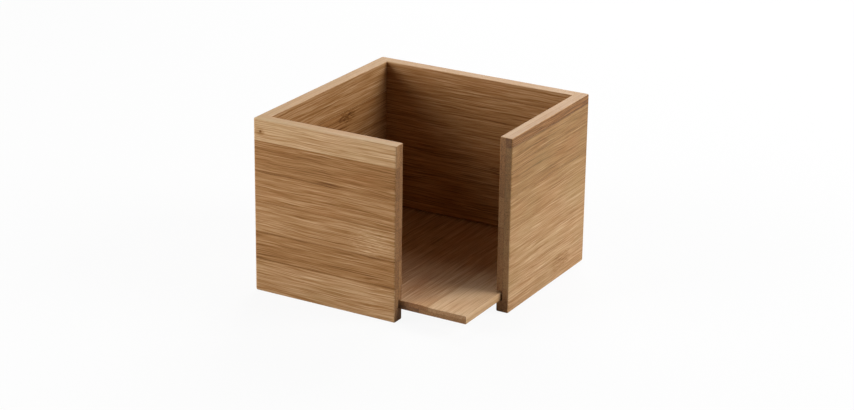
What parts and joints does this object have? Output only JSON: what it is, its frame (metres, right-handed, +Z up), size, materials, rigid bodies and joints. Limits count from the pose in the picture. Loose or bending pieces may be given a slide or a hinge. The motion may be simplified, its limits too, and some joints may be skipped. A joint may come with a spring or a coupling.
{
  "type": "napkin box",
  "caption": "Square open-topped wooden box for a stack of folded napkins, whose front corner is cut away from rim to floor so the stack can be seen and gripped.",
  "frame": {"origin": "middle of the square footprint, on the plane that the box stands on", "axes": "+Z up; the front wall faces -Y and the right wall faces +X, so the open corner points to +X and -Y"},
  "size_m": [0.145, 0.145, 0.1073],
  "materials": {
    "bamboo_board": "laminated bamboo, sanded and clear satin lacquered",
    "bamboo_panel": "thin laminated bamboo panel, sanded and clear satin lacquered",
    "pin_steel": "drawn steel wire, dull and browned"
  },
  "bodies": {
    "root": {"front_wall": "bamboo_board", "left_wall": "bamboo_board", "back_wall": "bamboo_board", "right_wall": "bamboo_board", "floor_panel": "bamboo_panel", "corner_pin": "pin_steel"}
  },
  "joints": []
}
